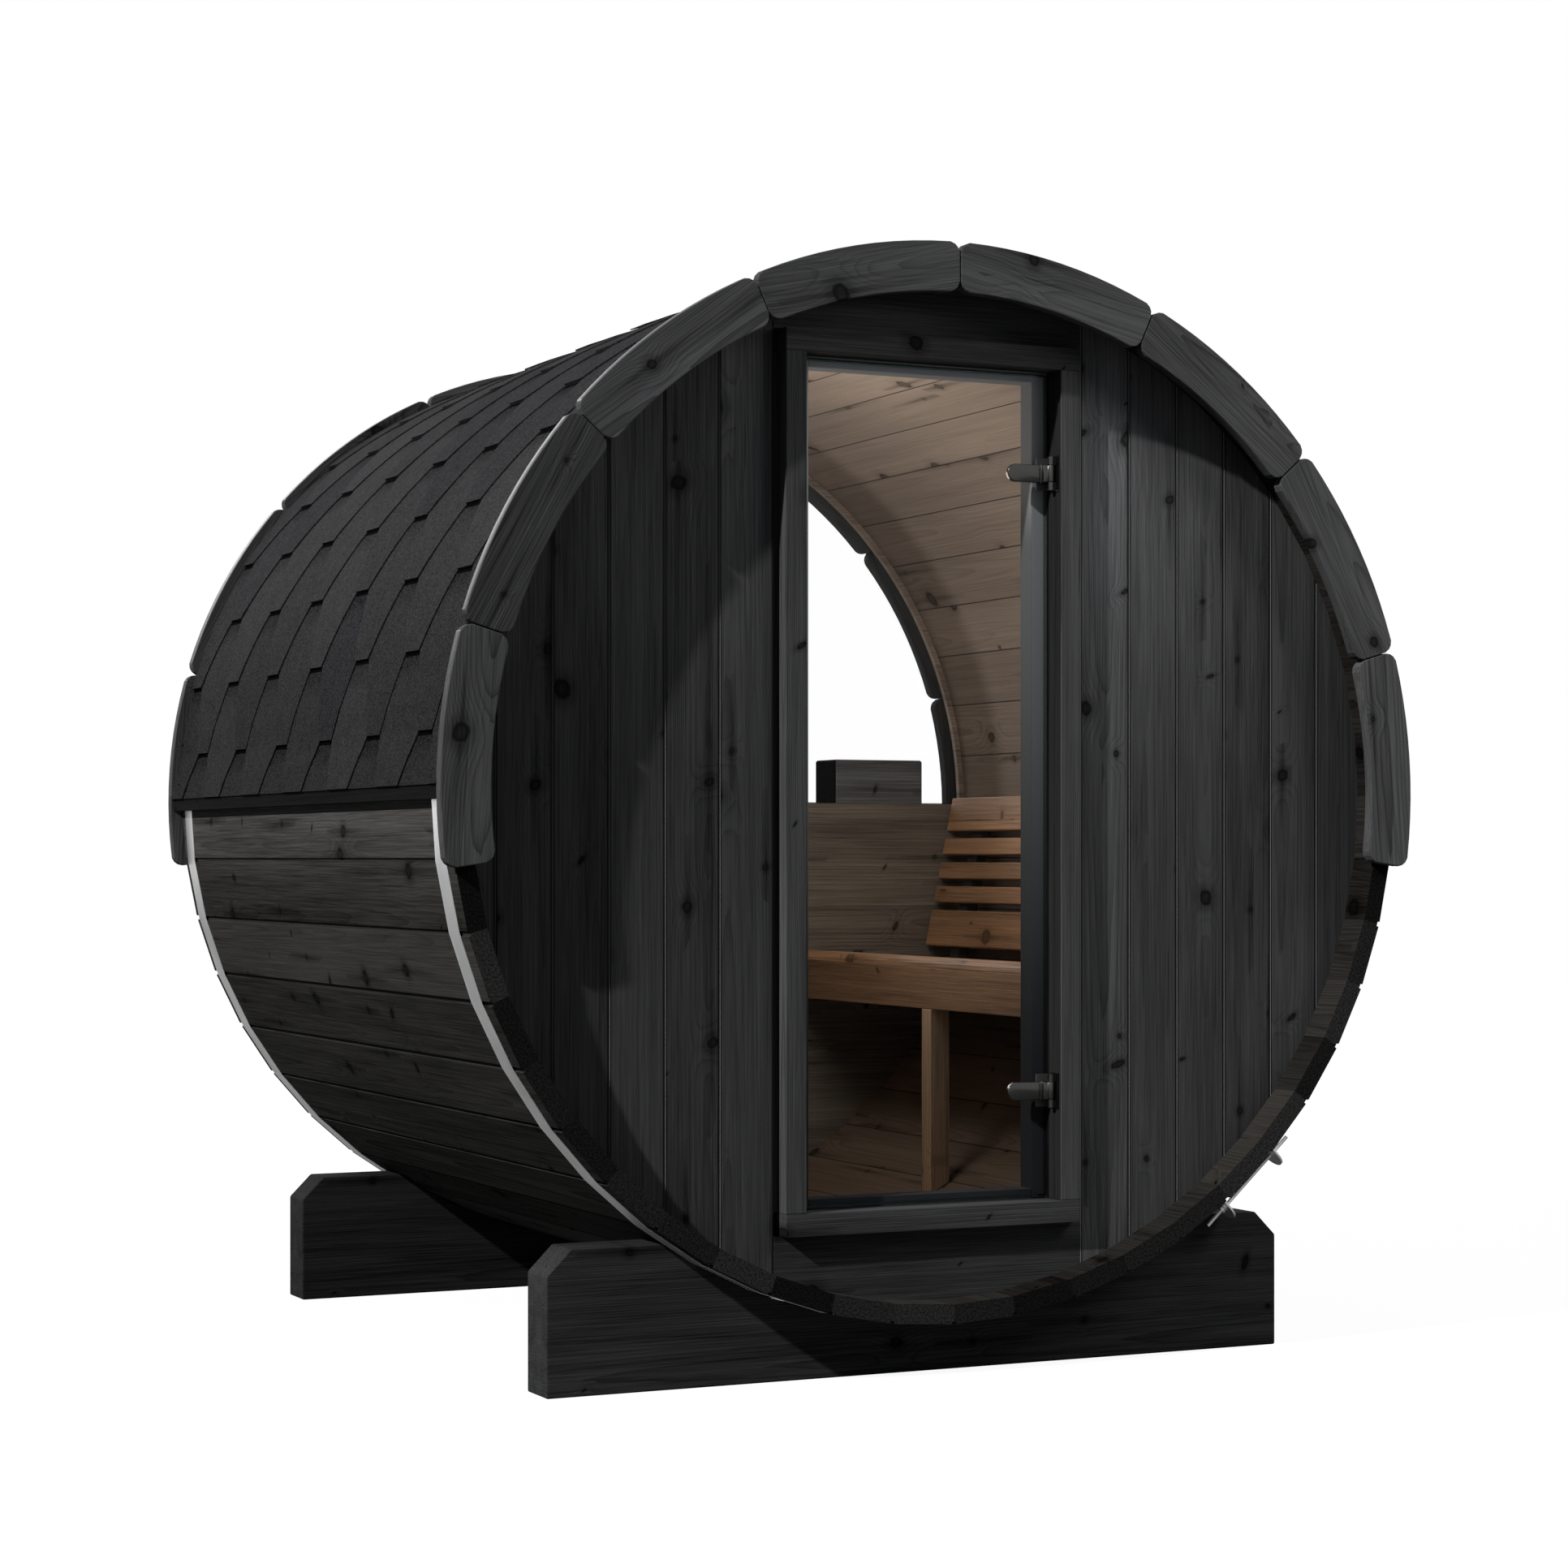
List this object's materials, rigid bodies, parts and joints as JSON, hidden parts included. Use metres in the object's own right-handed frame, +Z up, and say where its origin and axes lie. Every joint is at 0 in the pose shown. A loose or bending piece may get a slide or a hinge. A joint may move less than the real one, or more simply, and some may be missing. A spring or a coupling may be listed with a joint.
{
  "type": "barrel sauna",
  "caption": "Lying barrel of charcoal staves on cradles, with a shingled top, steel bands, glass door in the front wall, half-moon back window and slatted benches inside.",
  "frame": {"origin": "on the ground under the middle of the barrel", "axes": "+Z up, the barrel's axis along Y, the front with the door facing -Y, +X to the right seen from the front"},
  "size_m": [2.0994, 1.8444, 2.1678],
  "materials": {
    "charcoal_wood": "charcoal stain, low sheen",
    "stave_wood": "charcoal stain outside, bare warm timber inside",
    "wall_wood": "bare warm timber inside, charcoal stain outside",
    "warm_wood": "bare, smooth planed",
    "shingle": "mineral granules on felt",
    "band_steel": "bright strap",
    "hinge_steel": "dark brushed",
    "pad_rubber": "matt",
    "bronze_glass": "bronze tint",
    "clear_glass": "clear"
  },
  "bodies": {
    "cabin": {"back_band": "band_steel", "back_cradle": "charcoal_wood", "back_fascia": "charcoal_wood", "back_wall": "wall_wood", "back_window": "clear_glass", "band_rods": "band_steel", "door_frame_head": "charcoal_wood", "door_frame_left": "charcoal_wood", "door_frame_right": "charcoal_wood", "door_frame_sill": "charcoal_wood", "eave_batten_left": "charcoal_wood", "eave_batten_right": "charcoal_wood", "front_band": "band_steel", "front_cradle": "charcoal_wood", "front_fascia": "charcoal_wood", "front_wall_header": "charcoal_wood", "front_wall_left": "charcoal_wood", "front_wall_right": "charcoal_wood", "front_wall_threshold": "charcoal_wood", "left_backrest": "warm_wood", "left_bench_frame": "warm_wood", "left_bench_seat": "warm_wood", "lower_hinge_bracket": "hinge_steel", "right_backrest": "warm_wood", "right_bench_frame": "warm_wood", "right_bench_seat": "warm_wood", "roof_left": "shingle", "roof_right": "shingle", "sill_block": "charcoal_wood", "staves_bottom_left": "stave_wood", "staves_bottom_right": "stave_wood", "staves_left_lower": "stave_wood", "staves_left_upper": "stave_wood", "staves_right_lower": "stave_wood", "staves_right_upper": "stave_wood", "staves_top_left": "stave_wood", "staves_top_right": "stave_wood", "upper_hinge_bracket": "hinge_steel", "window_bead": "warm_wood", "window_sill": "wall_wood"},
    "door": {"door_glass": "bronze_glass", "upper_hinge_leaf": "hinge_steel", "lower_hinge_leaf": "hinge_steel", "door_hinge_pads": "pad_rubber"}
  },
  "joints": [
    {"name": "door_swing", "type": "hinge", "parent": "cabin", "child": "door", "pos_m": [0.25225, -0.829, 1.122], "axis": [0, 0, 1], "range_deg": [0, 110]}
  ]
}
